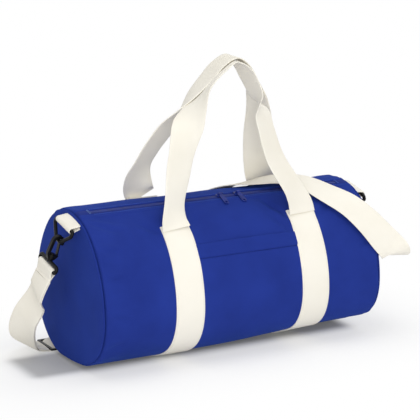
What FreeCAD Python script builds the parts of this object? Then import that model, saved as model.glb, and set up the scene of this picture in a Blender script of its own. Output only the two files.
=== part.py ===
import FreeCAD, Part
import math
import os

from FreeCAD import Placement, Rotation, Vector

# Barrel bag of canvas with webbing handles and a clip-on shoulder strap.
# X runs along the barrel, -Y is the front, +Z is up, and the floor is z = 0.
# All lengths are in millimetres and all angles in degrees.

# Barrel: a sagged round outline, flat where it stands, with its largest width low down
LENGTH = 500.0
HALF_WIDTH = 128.0
HEIGHT = 250.0
TOP_ROUND_SHARE = 0.875
CORNER_SHARE = 1.569
CLOTH = 2.0
ROLL = 12.9
END_BULGE = 4.0
DOME_INSET_SHARE = 0.816
SEAM_ALLOWANCE = 10.0
BINDING_WIDTH = 14.0
BINDING = 1.5

# Webbing, one width for belts, handles, tabs and strap
WEBBING_WIDTH = 50.0
WEBBING = 2.0
BELT_SPACING_SHARE = 0.46
BELT_OFFSET = 10.0

# Front pocket between the belts
POCKET_BOTTOM = 52.0
POCKET_TOP = 195.0
POCKET_HEM = 20.5
POCKET_CLOTH = 0.9

# Zip
ZIP_STOP = 22.0
SLOT_WIDTH = 14.0
TAPE = 1.0
COIL_WIDTH = 2.6
COIL_HEIGHT = 2.4
COIL_GAP = 1.8
SLIDER_LENGTH = 13.0
SLIDER_PLATE = 1.5
SLIDER_FLANGE = 1.4
SLIDER_DIVIDER = 1.0
SLIDER_NOSE = 1.2
SLIDER_LEFT_X = 5.0
SLIDER_RIGHT_X = 38.0
BAIL_RADIUS = 1.0
BAIL_SPAN = 6.0
BAIL_POST = 1.8
BAIL_HEIGHT = 2.4
PULL_LENGTH = 27.0
PULL_WIDTH = 8.0
PULL_PLATE = 1.6
PULL_EYE = 2.1
PULL_HOLE = 2.0
PULL_DROP = 13.0

# Handles: the arch rises from the belts and leans to one point above the bag
HANDLE_REACH = 64.7
HANDLE_RISE = 250.0
HANDLE_APEX_X = 28.0
HANDLE_APEX_Y = -17.0
HANDLE_STAGGER = 11.0
HANDLE_STACK = 14.0
BELT_OVERLAP = 8.0
ARCH_RISE = (0.0, 0.19, 0.45, 0.66, 0.85, 0.96, 1.0)
ARCH_LEAN = (0.0, 0.0, 0.16, 0.35, 0.61, 0.82, 1.0)
ARCH_TWIST = (0.0, 0.0, 0.2, 0.45, 0.8, 1.0, 1.0)

# Ring tabs and rings
TAB_LENGTH = 20.0
TAB_DROP = 5.0
TAB_DROOP = 35.0
RING_RADIUS = 3.0
RING_HALF_TIP = 8.0
RING_SHOULDER = 8.0
RING_DEPTH = 27.0
RING_CORNER = 4.0
HANG_TILT = 20.0

# Snap hooks
EYE_RADIUS = 5.5
HOOK_BAR = 5.0
HOOK_THICK = 7.0
HOOK_LENGTH = 25.0
HOOK_NOSE = 4.0
HOOK_BLOCK = 8.0
HOOK_BLOCK_HALF = 5.5
GATE_PLATE = 1.8
GATE_FOOT_X = 7.6
GATE_TOP_X = 3.7
GATE_DEPTH = 4.7
STEM_RADIUS = 2.6
STEM_HEAD_RADIUS = 3.8
STEM_HEAD = 1.8
BASE_BOSS_RADIUS = 4.6
BASE_BOSS = 3.0
BASE_DROP = 9.0
BASE_TURN_LEFT = 0.0
BASE_TURN_RIGHT = 90.0
LOOP_LENGTH = 18.0

# Strap adjuster: a flat frame with two slots
ADJUSTER_X_SHARE = -0.952
ADJUSTER_Y_SHARE = 0.75
ADJUSTER_LENGTH = 38.0
ADJUSTER_PLATE = 3.0
ADJUSTER_RIM = 5.0
ADJUSTER_BAR = 6.0

# Clearances
PLAY = 0.3
RUNNING_FIT = 0.06
SLIDER_PLAY = 0.45
LAYER_GAP = 1.0

# Worked out from the sizes above
TOP_RADIUS = TOP_ROUND_SHARE * HALF_WIDTH
CORNER_RADIUS = CORNER_SHARE * HALF_WIDTH * (HEIGHT - HALF_WIDTH) / HEIGHT
FLAT_HALF = HALF_WIDTH - CORNER_RADIUS
FLOOR_LIFT = WEBBING
TOP_Z = FLOOR_LIFT + HEIGHT - TOP_RADIUS
WAIST_Z = FLOOR_LIFT + CORNER_RADIUS
SIDE_RISE = TOP_Z - WAIST_Z
SIDE_RADIUS = (HALF_WIDTH**2 + SIDE_RISE**2 - TOP_RADIUS**2) / (2 * (HALF_WIDTH - TOP_RADIUS))
SIDE_CENTRE = HALF_WIDTH - SIDE_RADIUS
SHOULDER = math.atan2(SIDE_RISE, -SIDE_CENTRE)
HALF_LENGTH = LENGTH / 2
HALF_WEB = WEBBING_WIDTH / 2
RING_HALF_BAR = HALF_WEB + PLAY + RING_CORNER
BELT_SPACING = BELT_SPACING_SHARE * LENGTH
BELT_X = {"left": BELT_OFFSET - BELT_SPACING / 2, "right": BELT_OFFSET + BELT_SPACING / 2}
HANDLE_ANGLE = math.degrees(HANDLE_REACH / TOP_RADIUS)
FRONT_ROOT = ROLL + HANDLE_ANGLE
REAR_ROOT = ROLL - HANDLE_ANGLE
HANDLE_ROOT_RADIUS = TOP_RADIUS + 1.5 * WEBBING + PLAY
SIDES = {"left": -1, "right": 1}


def save(shape, node):
    shape.exportStep("parts/" + node + ".step")


def extrude_x(face, length):
    return face.extrude(Vector(length, 0, 0))


def outline(offset, x):
    """Closed outline of the barrel in the plane at x, moved outwards by offset."""
    def side_points(sign):
        corner = CORNER_RADIUS + offset
        side = SIDE_RADIUS + offset
        top = TOP_RADIUS + offset
        eighth = math.sqrt(0.5)
        bend = SHOULDER / 2
        return {
            "flat": Vector(x, sign * FLAT_HALF, FLOOR_LIFT - offset),
            "corner": Vector(x, sign * (FLAT_HALF + corner * eighth), WAIST_Z - corner * eighth),
            "waist": Vector(x, sign * (HALF_WIDTH + offset), WAIST_Z),
            "side": Vector(x, sign * (SIDE_CENTRE + side * math.cos(bend)), WAIST_Z + side * math.sin(bend)),
            "shoulder": Vector(x, sign * top * math.cos(SHOULDER), TOP_Z + top * math.sin(SHOULDER)),
        }
    rear = side_points(1)
    front = side_points(-1)
    crown = Vector(x, 0, TOP_Z + TOP_RADIUS + offset)
    return Part.Wire([
        Part.LineSegment(front["flat"], rear["flat"]).toShape(),
        Part.Arc(rear["flat"], rear["corner"], rear["waist"]).toShape(),
        Part.Arc(rear["waist"], rear["side"], rear["shoulder"]).toShape(),
        Part.Arc(rear["shoulder"], crown, front["shoulder"]).toShape(),
        Part.Arc(front["shoulder"], front["side"], front["waist"]).toShape(),
        Part.Arc(front["waist"], front["corner"], front["flat"]).toShape(),
    ])


def sleeve(inner, outer, x0, x1):
    """Closed band of cloth round the barrel, from one offset to another."""
    face = Part.Face(outline(outer, x0)).cut(Part.Face(outline(inner, x0)))
    return extrude_x(face, x1 - x0)


def crown_point(radius, angle, x=0.0):
    """Point over the top of the barrel, angle counted from straight up towards the front."""
    turn = math.radians(angle)
    return Vector(x, -radius * math.sin(turn), TOP_Z + radius * math.cos(turn))


def crown_strip(r0, r1, a0, a1, x0, x1):
    """Strip that follows the round top of the barrel."""
    middle = (a0 + a1) / 2
    face = Part.Face(Part.Wire([
        Part.Arc(crown_point(r1, a0, x0), crown_point(r1, middle, x0), crown_point(r1, a1, x0)).toShape(),
        Part.LineSegment(crown_point(r1, a1, x0), crown_point(r0, a1, x0)).toShape(),
        Part.Arc(crown_point(r0, a1, x0), crown_point(r0, middle, x0), crown_point(r0, a0, x0)).toShape(),
        Part.LineSegment(crown_point(r0, a0, x0), crown_point(r1, a0, x0)).toShape(),
    ]))
    return extrude_x(face, x1 - x0)


def crown_wedge(a0, a1, x0, x1):
    """Wedge from the centre of the round top, used to cut bands open between two angles."""
    reach = 3 * TOP_RADIUS
    corners = [Vector(x0, 0, TOP_Z), crown_point(reach, a0, x0), crown_point(reach, a1, x0), Vector(x0, 0, TOP_Z)]
    return extrude_x(Part.Face(Part.makePolygon(corners)), x1 - x0)


def arc_degrees(length):
    """Angle that a length covers on the round top."""
    return math.degrees(length / TOP_RADIUS)


def polygon_prism(points, depth):
    """Prism of points in the XZ plane, centred on Y."""
    corners = [Vector(x, -depth / 2, z) for x, z in points]
    return Part.Face(Part.makePolygon(corners + corners[:1])).extrude(Vector(0, depth, 0))


def rounded_loop(points, radius):
    """Closed wire in the YZ plane with rounded corners, starting in the middle of its first side."""
    count = len(points)
    first = (points[0] + points[1]) / 2
    edges = []
    last = first
    for index in range(count):
        corner = points[(index + 1) % count]
        before = (points[index] - corner).normalize()
        after = (points[(index + 2) % count] - corner).normalize()
        half_turn = before.getAngle(after) / 2
        reach = radius / math.tan(half_turn)
        middle = (before + after).normalize() * (radius / math.sin(half_turn) - radius)
        enter = corner + before * reach
        leave = corner + after * reach
        edges.append(Part.LineSegment(last, enter).toShape())
        edges.append(Part.Arc(enter, corner + middle, leave).toShape())
        last = leave
    edges.append(Part.LineSegment(last, first).toShape())
    return Part.Wire(edges)


def swept_ring(points, corner, radius):
    """Round bar bent into a closed ring with rounded corners."""
    path = rounded_loop(points, corner)
    start = (points[0] + points[1]) / 2
    section = Part.Wire(Part.makeCircle(radius, start, points[1] - points[0]))
    return path.makePipeShell([section], True, True)


def tangent_point(point, centre, radius, turn):
    """Where a line from a point touches a circle, in the XZ plane."""
    run = centre[0] - point[0]
    rise = centre[1] - point[1]
    distance = math.hypot(run, rise)
    heading = math.atan2(rise, run) + turn * math.asin(radius / distance)
    reach = math.sqrt(distance**2 - radius**2)
    return point[0] + reach * math.cos(heading), point[1] + reach * math.sin(heading)


def webbing_eye(root_top, root_low, centre, bore):
    """Webbing doubled round a bar and sewn flat behind it, as wide as the webbing."""
    outer = bore + WEBBING
    upper = tangent_point(root_top, centre, outer, 1)
    lower = tangent_point(root_low, centre, outer, -1)
    middle = ((root_top[0] + root_low[0]) / 2, (root_top[1] + root_low[1]) / 2)
    run = math.hypot(centre[0] - middle[0], centre[1] - middle[1])
    tip = tuple(centre[k] + (centre[k] - middle[k]) / run * outer for k in (0, 1))

    def at(point):
        return Vector(point[0], -HALF_WEB, point[1])
    face = Part.Face(Part.Wire([
        Part.LineSegment(at(root_low), at(root_top)).toShape(),
        Part.LineSegment(at(root_top), at(upper)).toShape(),
        Part.Arc(at(upper), at(tip), at(lower)).toShape(),
        Part.LineSegment(at(lower), at(root_low)).toShape(),
    ]))
    eye = face.extrude(Vector(0, WEBBING_WIDTH, 0))
    return eye.cut(Part.makeCylinder(bore, WEBBING_WIDTH, at(centre), Vector(0, 1, 0)))


def ribbon(stations):
    """Webbing along stations, each a centre and the direction of its width."""
    count = len(stations)
    sections = []
    for index, (centre, across) in enumerate(stations):
        ahead = stations[min(index + 1, count - 1)][0] - stations[max(index - 1, 0)][0]
        across = (across - ahead * (across.dot(ahead) / ahead.dot(ahead))).normalize()
        face_normal = ahead.cross(across).normalize()
        side = across * HALF_WEB
        depth = face_normal * (WEBBING / 2)
        corners = [centre - side - depth, centre + side - depth, centre + side + depth, centre - side + depth]
        sections.append(Part.makePolygon(corners + corners[:1]))
    return Part.makeLoft(sections, True, True)


# Shell

def barrel_panel():
    slot = arc_degrees(SLOT_WIDTH) / 2
    panel = sleeve(-CLOTH, 0, -HALF_LENGTH, HALF_LENGTH)
    return panel.cut(crown_wedge(ROLL - slot, ROLL + slot, -LENGTH, LENGTH))


def end_panel(sign):
    """Flat seam allowance round the rim, and a low bulge inside it."""
    x_rim = sign * HALF_LENGTH
    reach = (0.0, 0.21, 0.57, 1.0)
    swell = (0.0, 0.5, 0.9, 1.0)
    inset = [SEAM_ALLOWANCE + part * (DOME_INSET_SHARE * CORNER_RADIUS - SEAM_ALLOWANCE) for part in reach]

    def dome(start):
        rings = [outline(-step, x_rim + sign * (start + END_BULGE * part)) for step, part in zip(inset, swell)]
        return Part.makeLoft(rings, True, True)
    plate = extrude_x(Part.Face(outline(0, x_rim)), sign * CLOTH)
    return plate.fuse(dome(CLOTH)).cut(dome(0)).removeSplitter()


def seam_binding(sign):
    x_rim = sign * HALF_LENGTH
    band = sleeve(-CLOTH - BINDING, -CLOTH, min(x_rim, x_rim - sign * BINDING_WIDTH),
                  max(x_rim, x_rim - sign * BINDING_WIDTH))
    slot = arc_degrees(SLOT_WIDTH) / 2
    return band.cut(crown_wedge(ROLL - slot, ROLL + slot, -LENGTH, LENGTH))


def front_pocket():
    x0 = BELT_X["left"] + HALF_WEB
    x1 = BELT_X["right"] - HALF_WEB

    def layer(inner, outer, z0, z1):
        keep = Part.makeBox(LENGTH, 2 * HALF_WIDTH, z1 - z0, Vector(-HALF_LENGTH, -2 * HALF_WIDTH, z0))
        return sleeve(inner, outer, x0, x1).common(keep)
    body = layer(0, POCKET_CLOTH, POCKET_BOTTOM, POCKET_TOP)
    hem = layer(POCKET_CLOTH, 2 * POCKET_CLOTH, POCKET_TOP - POCKET_HEM, POCKET_TOP)
    return body.fuse(hem).removeSplitter()


def belt(side):
    x0 = BELT_X[side] - HALF_WEB
    band = sleeve(0, WEBBING, x0, x0 + WEBBING_WIDTH)
    end = arc_degrees(BELT_OVERLAP)
    return band.cut(crown_wedge(REAR_ROOT + end, FRONT_ROOT - end, -LENGTH, LENGTH))


# Zip

TAPE_RADIUS = TOP_RADIUS - CLOTH / 2
COIL_EDGE = COIL_GAP / 2 + COIL_WIDTH
HALF_ZIP = HALF_LENGTH - ZIP_STOP


def zip_tape(sign):
    edges = sorted((ROLL + sign * arc_degrees(COIL_EDGE), ROLL + sign * arc_degrees(SLOT_WIDTH) / 2))
    return crown_strip(TAPE_RADIUS - TAPE / 2, TAPE_RADIUS + TAPE / 2, edges[0], edges[1], -HALF_ZIP, HALF_ZIP)


def zip_coil(sign):
    edges = sorted((ROLL + sign * arc_degrees(COIL_GAP) / 2, ROLL + sign * arc_degrees(COIL_EDGE)))
    half = COIL_HEIGHT / 2
    return crown_strip(TAPE_RADIUS - half, TAPE_RADIUS + half, edges[0], edges[1], -HALF_ZIP, HALF_ZIP)


def zip_end_tab(sign):
    slot = arc_degrees(SLOT_WIDTH) / 2
    x0, x1 = sorted((sign * HALF_ZIP, sign * HALF_LENGTH))
    return crown_strip(TOP_RADIUS - CLOTH, TOP_RADIUS, ROLL - slot, ROLL + slot, x0, x1)


def zip_frame(x):
    """Frame on the zip line: local X along the zip, local Z out of the bag, origin in the tape."""
    return Placement(crown_point(TAPE_RADIUS, ROLL, x), Rotation(Vector(1, 0, 0), ROLL))


PLATE_LOW = COIL_HEIGHT / 2 + SLIDER_PLAY
PLATE_TOP = PLATE_LOW + SLIDER_PLATE
SLIDER_HALF = COIL_EDGE + SLIDER_PLAY + SLIDER_FLANGE
BAIL_Z = PLATE_TOP + BAIL_HEIGHT


def zip_slider(sign):
    """Two plates with flanges, a divider at the nose and a bail for the pull."""
    half = SLIDER_LENGTH / 2
    nose = -sign * half

    def plate(z0, z1):
        tail_half = SLIDER_HALF - SLIDER_NOSE
        outline_points = [
            Vector(nose, -SLIDER_HALF, z0), Vector(nose, SLIDER_HALF, z0),
            Vector(0, SLIDER_HALF, z0), Vector(-nose, tail_half, z0),
            Vector(-nose, -tail_half, z0), Vector(0, -SLIDER_HALF, z0),
        ]
        face = Part.Face(Part.makePolygon(outline_points + outline_points[:1]))
        return face.extrude(Vector(0, 0, z1 - z0))
    tape_room = TAPE / 2 + SLIDER_PLAY
    solid = plate(PLATE_LOW, PLATE_TOP).fuse(plate(-PLATE_TOP, -PLATE_LOW))
    for edge in (-1, 1):
        y0 = min(edge * (SLIDER_HALF - SLIDER_FLANGE), edge * SLIDER_HALF)
        for z0, z1 in ((tape_room, PLATE_LOW), (-PLATE_LOW, -tape_room)):
            x0 = min(nose, 0)
            solid = solid.fuse(Part.makeBox(half, SLIDER_FLANGE, z1 - z0, Vector(x0, y0, z0)))
    divider_length = SLIDER_LENGTH / 4
    divider_x = min(nose, nose + sign * divider_length)
    solid = solid.fuse(Part.makeBox(divider_length, SLIDER_DIVIDER, 2 * PLATE_LOW,
                                    Vector(divider_x, -SLIDER_DIVIDER / 2, -PLATE_LOW)))
    for end in (-1, 1):
        post_x = end * (BAIL_SPAN + BAIL_POST) / 2
        post_top = BAIL_Z + BAIL_RADIUS
        post = Part.makeBox(BAIL_POST, 2 * BAIL_RADIUS, post_top - PLATE_TOP,
                            Vector(post_x - BAIL_POST / 2, -BAIL_RADIUS, PLATE_TOP))
        solid = solid.fuse(post)
    bar = Part.makeCylinder(BAIL_RADIUS, BAIL_SPAN, Vector(-BAIL_SPAN / 2, 0, BAIL_Z), Vector(1, 0, 0))
    return solid.fuse(bar).removeSplitter()


def pull_tab():
    """Flat pull with an eye round the bail and a hole at its free end, lying towards the front."""
    eye_length = BAIL_SPAN - 2 * PLAY
    eye = Part.makeCylinder(PULL_EYE, eye_length, Vector(-eye_length / 2, 0, 0), Vector(1, 0, 0))
    blade = Part.makeBox(PULL_WIDTH, PULL_LENGTH, PULL_PLATE, Vector(-PULL_WIDTH / 2, -PULL_LENGTH, -PULL_PLATE / 2))
    corners = [edge for edge in blade.Edges
               if abs(edge.CenterOfMass.y + PULL_LENGTH) < 0.01 and abs(edge.CenterOfMass.z) < 0.01]
    blade = blade.makeFillet(PULL_WIDTH / 2 * 0.8, corners)
    neck_cut = BAIL_SPAN / 2 - PLAY
    shoulder_y = PULL_EYE + SLIDER_HALF / 2
    for end in (-1, 1):
        x0 = min(end * neck_cut, end * PULL_WIDTH)
        room = Part.makeBox(PULL_WIDTH - neck_cut, shoulder_y, 2 * PULL_EYE, Vector(x0, -shoulder_y, -PULL_EYE))
        blade = blade.cut(room)
    hole = Part.makeCylinder(PULL_HOLE, 2 * PULL_EYE, Vector(0, PULL_WIDTH / 2 - PULL_LENGTH, -PULL_EYE))
    solid = eye.fuse(blade).cut(hole)
    bore = Part.makeCylinder(BAIL_RADIUS + RUNNING_FIT, 2 * BAIL_SPAN, Vector(-BAIL_SPAN, 0, 0), Vector(1, 0, 0))
    return solid.cut(bore).removeSplitter()


def pull_frame(x):
    lay = Placement(Vector(0, 0, BAIL_Z), Rotation(Vector(1, 0, 0), PULL_DROP))
    return zip_frame(x).multiply(lay)


# Handles

def handle_stations(front):
    """From the left belt over the apex to the right belt, twisting a quarter turn on each leg."""
    root_angle = FRONT_ROOT if front else REAR_ROOT
    root = crown_point(HANDLE_ROOT_RADIUS, root_angle)
    apex_z = TOP_Z + TOP_RADIUS * math.cos(math.radians(FRONT_ROOT)) + HANDLE_RISE
    apex_y = HANDLE_APEX_Y - HANDLE_STAGGER / 2
    if not front:
        apex_z = apex_z + HANDLE_STACK
        apex_y = HANDLE_APEX_Y + HANDLE_STAGGER / 2
    forward = -1 if front else 1
    stations = []
    for side in ("left", "right"):
        leg = []
        sign = SIDES[side]
        for rise, lean, twist in zip(ARCH_RISE, ARCH_LEAN, ARCH_TWIST):
            x = BELT_X[side] + (HANDLE_APEX_X - BELT_X[side]) * lean
            y = root.y + (apex_y - root.y) * rise
            z = root.z + (apex_z - root.z) * rise
            turn = math.radians(90 * twist)
            across = Vector(-sign * math.cos(turn), forward * math.sin(turn), 0)
            leg.append((Vector(x, y, z), across))
        stations += leg if side == "left" else leg[-2::-1]
    return stations


# Ring tabs, rings and hooks, in a frame at each end seam: X outwards, Z out of the barrel's top

def end_frame(side):
    turn = Rotation(Vector(1, 0, 0), ROLL)
    if side == "left":
        turn = turn.multiply(Rotation(Vector(0, 0, 1), 180))
    return Placement(crown_point(TOP_RADIUS, ROLL, SIDES[side] * HALF_LENGTH), turn)


DROOP = math.radians(TAB_DROOP)
RING_BAR = (CLOTH + TAB_LENGTH * math.cos(DROOP), -TAB_DROP - TAB_LENGTH * math.sin(DROOP))


def ring_tab():
    half_root = WEBBING / math.cos(DROOP)
    top = (CLOTH, -TAB_DROP + half_root)
    low = (CLOTH, -TAB_DROP - half_root)
    return webbing_eye(top, low, RING_BAR, RING_RADIUS + RUNNING_FIT)


def ring_frame():
    """Frame of a hanging ring: origin on its bar, ring down along -Z."""
    return Placement(Vector(RING_BAR[0], 0, RING_BAR[1]), Rotation(Vector(0, 1, 0), -HANG_TILT))


def d_ring():
    half_outline = [(RING_HALF_BAR, 0), (RING_HALF_BAR, -RING_SHOULDER), (RING_HALF_TIP, -RING_DEPTH)]
    corners = [Vector(0, -RING_HALF_BAR, 0)] + [Vector(0, y, z) for y, z in half_outline]
    corners += [Vector(0, -y, z) for y, z in reversed(half_outline[1:])]
    return swept_ring(corners, RING_CORNER, RING_RADIUS)


def hook_frame():
    """Frame of a hook: origin in the ring's tip, hook down along -Z, shaft on the outer side."""
    return ring_frame().multiply(Placement(Vector(0, 0, -RING_DEPTH), Rotation()))


EYE_Z = RING_RADIUS + PLAY - EYE_RADIUS
HOOK_HALF = EYE_RADIUS + HOOK_BAR


def snap_hook():
    """Moulded hook: eye, shaft and nose in one outline, and a tapered block with the swivel's bore."""
    def at(x, z):
        return Vector(x, -HOOK_THICK / 2, z)
    bend = Part.Face(Part.Wire([
        Part.LineSegment(at(HOOK_HALF, -HOOK_LENGTH), at(HOOK_HALF, EYE_Z)).toShape(),
        Part.Arc(at(HOOK_HALF, EYE_Z), at(0, EYE_Z + HOOK_HALF), at(-HOOK_HALF, EYE_Z)).toShape(),
        Part.LineSegment(at(-HOOK_HALF, EYE_Z), at(-HOOK_HALF, EYE_Z - HOOK_NOSE)).toShape(),
        Part.LineSegment(at(-HOOK_HALF, EYE_Z - HOOK_NOSE), at(-EYE_RADIUS, EYE_Z - HOOK_NOSE)).toShape(),
        Part.LineSegment(at(-EYE_RADIUS, EYE_Z - HOOK_NOSE), at(-EYE_RADIUS, EYE_Z)).toShape(),
        Part.Arc(at(-EYE_RADIUS, EYE_Z), at(0, EYE_Z + EYE_RADIUS), at(EYE_RADIUS, EYE_Z)).toShape(),
        Part.LineSegment(at(EYE_RADIUS, EYE_Z), at(EYE_RADIUS, -HOOK_LENGTH)).toShape(),
        Part.LineSegment(at(EYE_RADIUS, -HOOK_LENGTH), at(HOOK_HALF, -HOOK_LENGTH)).toShape(),
    ])).extrude(Vector(0, HOOK_THICK, 0))
    block_low = -HOOK_LENGTH - HOOK_BLOCK
    block = polygon_prism([(HOOK_HALF, -HOOK_LENGTH), (HOOK_BLOCK_HALF, block_low),
                           (-HOOK_BLOCK_HALF, block_low), (-HOOK_HALF, -HOOK_LENGTH)], HOOK_THICK)
    collar = Part.makeCylinder(HOOK_BLOCK_HALF, HOOK_BLOCK, Vector(0, 0, block_low))
    bore = Part.makeCylinder(STEM_RADIUS + RUNNING_FIT, 2 * HOOK_BLOCK, Vector(0, 0, block_low - HOOK_BLOCK / 2))
    return bend.fuse([block, collar]).cut(bore).removeSplitter()


GATE_FOOT_Z = PLAY + GATE_PLATE / 2 - HOOK_LENGTH


def hook_gate():
    """Thin sprung tongue from a round foot on the block to the inside of the nose."""
    foot_x = -GATE_FOOT_X
    half = GATE_PLATE / 2
    tongue = polygon_prism([(foot_x - half, GATE_FOOT_Z), (foot_x + half, GATE_FOOT_Z),
                            (half - GATE_TOP_X, -GATE_DEPTH), (-half - GATE_TOP_X, -GATE_DEPTH)], HOOK_THICK)
    foot = Part.makeCylinder(half, HOOK_THICK, Vector(foot_x, -HOOK_THICK / 2, GATE_FOOT_Z), Vector(0, 1, 0))
    return tongue.fuse(foot).removeSplitter()


def base_frame(side):
    """Frame of a base: the hook's frame, turned on the swivel as the strap pulls it."""
    turn = {"left": BASE_TURN_LEFT, "right": BASE_TURN_RIGHT}[side]
    return hook_frame().multiply(Placement(Vector(), Rotation(Vector(0, 0, 1), turn)))


BASE_TOP = -HOOK_LENGTH - HOOK_BLOCK - PLAY
BASE_BAR_Z = BASE_TOP - BASE_BOSS - BASE_DROP


def swivel_base():
    """Strap loop with a boss and a headed stem that turns in the hook's collar."""
    rail_z = BASE_TOP - BASE_BOSS
    corners = [Vector(0, -RING_HALF_BAR, rail_z), Vector(0, RING_HALF_BAR, rail_z),
               Vector(0, RING_HALF_BAR, BASE_BAR_Z), Vector(0, -RING_HALF_BAR, BASE_BAR_Z)]
    loop = swept_ring(corners, RING_CORNER, RING_RADIUS)
    boss = Part.makeCylinder(BASE_BOSS_RADIUS, BASE_BOSS, Vector(0, 0, rail_z))
    head_z = -HOOK_LENGTH + PLAY
    stem = Part.makeCylinder(STEM_RADIUS, head_z - rail_z, Vector(0, 0, rail_z))
    head = Part.makeCylinder(STEM_HEAD_RADIUS, STEM_HEAD, Vector(0, 0, head_z))
    return loop.fuse([boss, stem, head])


def strap_loop():
    """Strap doubled round the bar of the base, hanging from it."""
    low = BASE_BAR_Z - LOOP_LENGTH
    return webbing_eye((-WEBBING, low), (WEBBING, low), (0, BASE_BAR_Z), RING_RADIUS + RUNNING_FIT)


# Shoulder strap: hand-chosen places along its centre, each with the way its outer face looks.
# The places are shares of the bag's half length, half width and height.

ADJUSTER_Z = WEBBING + 2 * PLAY
BUCKLE_RISE = ADJUSTER_Z + ADJUSTER_PLATE + PLAY + WEBBING / 2
FLOOR_Z = PLAY + WEBBING / 2
DOWN = Vector(0, 0, -1)
ADJUSTER_X = ADJUSTER_X_SHARE * HALF_LENGTH
ADJUSTER_Y = ADJUSTER_Y_SHARE * HALF_WIDTH


def on_bag(shares, facing):
    return Vector(shares[0] * HALF_LENGTH, shares[1] * HALF_WIDTH, shares[2] * HEIGHT), Vector(*facing)


def on_floor(x_share, y_share):
    return Vector(x_share * HALF_LENGTH, y_share * HALF_WIDTH, FLOOR_Z), DOWN


LEFT_CURVE = [
    on_bag((-1.236, 0.141, 0.432), (-0.95, -0.15, 0.2)),
    on_bag((-1.276, 0.352, 0.272), (-0.95, -0.2, -0.1)),
    on_bag((-1.248, 0.539, 0.136), (-0.75, -0.1, -0.6)),
    on_bag((-1.172, 0.672, 0.052), (-0.45, 0, -0.9)),
]
FLOOR_RUN = [
    on_floor(-0.76, 0.758),
    on_floor(-0.6, 0.805),
]
BACK_CLIMB = [
    on_bag((-0.472, 0.953, 0.036), (0, 0.25, -0.97)),
    on_bag((-0.368, 1.117, 0.112), (0, 0.7, -0.7)),
    on_bag((-0.272, 1.195, 0.248), (0, 0.95, -0.3)),
    on_bag((-0.168, 1.18, 0.424), (0, 1, 0)),
    on_bag((-0.056, 1.078, 0.6), (0, 0.95, 0.3)),
    on_bag((0.056, 0.883, 0.772), (0, 0.8, 0.6)),
    on_bag((0.144, 0.602, 0.92), (0, 0.55, 0.83)),
]
OVER_TOP = [
    on_bag((0.224, 0.312, 1.016), (0, 0.3, 0.95)),
    on_bag((0.352, 0.078, 1.052), (0, 0.05, 1)),
    on_bag((0.496, -0.078, 1.064), (0, -0.1, 1)),
    on_bag((0.632, -0.242, 1.032), (0, -0.27, 0.97)),
    on_bag((0.756, -0.5, 0.956), (0, -0.55, 0.84)),
    on_bag((0.852, -0.68, 0.88), (0, -0.74, 0.67)),
    on_bag((0.94, -0.836, 0.772), (0, -0.9, 0.43)),
    on_bag((1.024, -0.945, 0.66), (-0.1, -0.95, 0.25)),
    on_bag((1.092, -1.016, 0.584), (-0.25, -0.95, 0.1)),
]
TIP_FOLD = [
    on_bag((1.116, -1.047, 0.544), (-0.2, -0.8, -0.55)),
    on_bag((1.136, -0.969, 0.512), (0, 0.1, -1)),
    on_bag((1.168, -0.703, 0.5), (0, 0.1, -1)),
    on_bag((1.2, -0.406, 0.48), (0, 0.1, -1)),
    on_bag((1.216, -0.156, 0.476), (0, 0.5, -0.85)),
]


def strap_end(side, layer):
    """Where a layer of the strap meets its loop: the place, the way it faces and the way it leaves."""
    frame = end_frame(side).multiply(base_frame(side))
    offset = layer * (WEBBING + PLAY) / 2
    point = frame.multVec(Vector(offset, 0, BASE_BAR_Z - LOOP_LENGTH - PLAY))
    outwards = frame.Rotation.multVec(Vector(1, 0, 0))
    along = frame.Rotation.multVec(Vector(0, 0, -1))
    return point, outwards, along


def through_adjuster():
    """The strap dips under the frame, climbs over its middle bar and dips again."""
    outer = ADJUSTER_LENGTH / 2
    bar = ADJUSTER_BAR / 2
    slot_edge = outer - ADJUSTER_RIM
    places = ((-outer - ADJUSTER_RIM, FLOOR_Z), (-slot_edge, FLOOR_Z), (-bar, BUCKLE_RISE),
              (bar, BUCKLE_RISE), (slot_edge, FLOOR_Z), (outer + ADJUSTER_RIM, FLOOR_Z))
    return [(Vector(ADJUSTER_X + x, ADJUSTER_Y, z), DOWN) for x, z in places]


def shoulder_strap():
    start, start_face, start_along = strap_end("left", 1)
    finish, finish_face, finish_along = strap_end("right", 0)
    stations = [(start, start_face), (start + start_along * HALF_WEB, start_face)]
    stations += LEFT_CURVE + through_adjuster() + FLOOR_RUN + BACK_CLIMB + OVER_TOP + TIP_FOLD
    return stations + [(finish + finish_along * HALF_WEB, finish_face), (finish, finish_face)]


def strap_return():
    """Second layer inside the left curve, ending at the adjuster."""
    start, start_face, start_along = strap_end("left", -1)
    inwards = WEBBING + LAYER_GAP
    stations = [(start, start_face), (start + start_along * HALF_WEB, start_face)]
    stations += [(point - face.normalize() * inwards, face) for point, face in LEFT_CURVE]
    end_x = ADJUSTER_X - ADJUSTER_LENGTH / 2 - PLAY
    for x in (end_x - ADJUSTER_RIM, end_x):
        stations.append((Vector(x, ADJUSTER_Y, ADJUSTER_Z + ADJUSTER_PLATE / 2), DOWN))
    return stations


def facing_ribbon(stations):
    """Webbing along places that each say which way its outer face looks."""
    places = [point for point, face in stations]
    across = []
    for index, (point, face) in enumerate(stations):
        ahead = places[min(index + 1, len(places) - 1)] - places[max(index - 1, 0)]
        across.append(face.cross(ahead))
    return ribbon(list(zip(places, across)))


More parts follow.
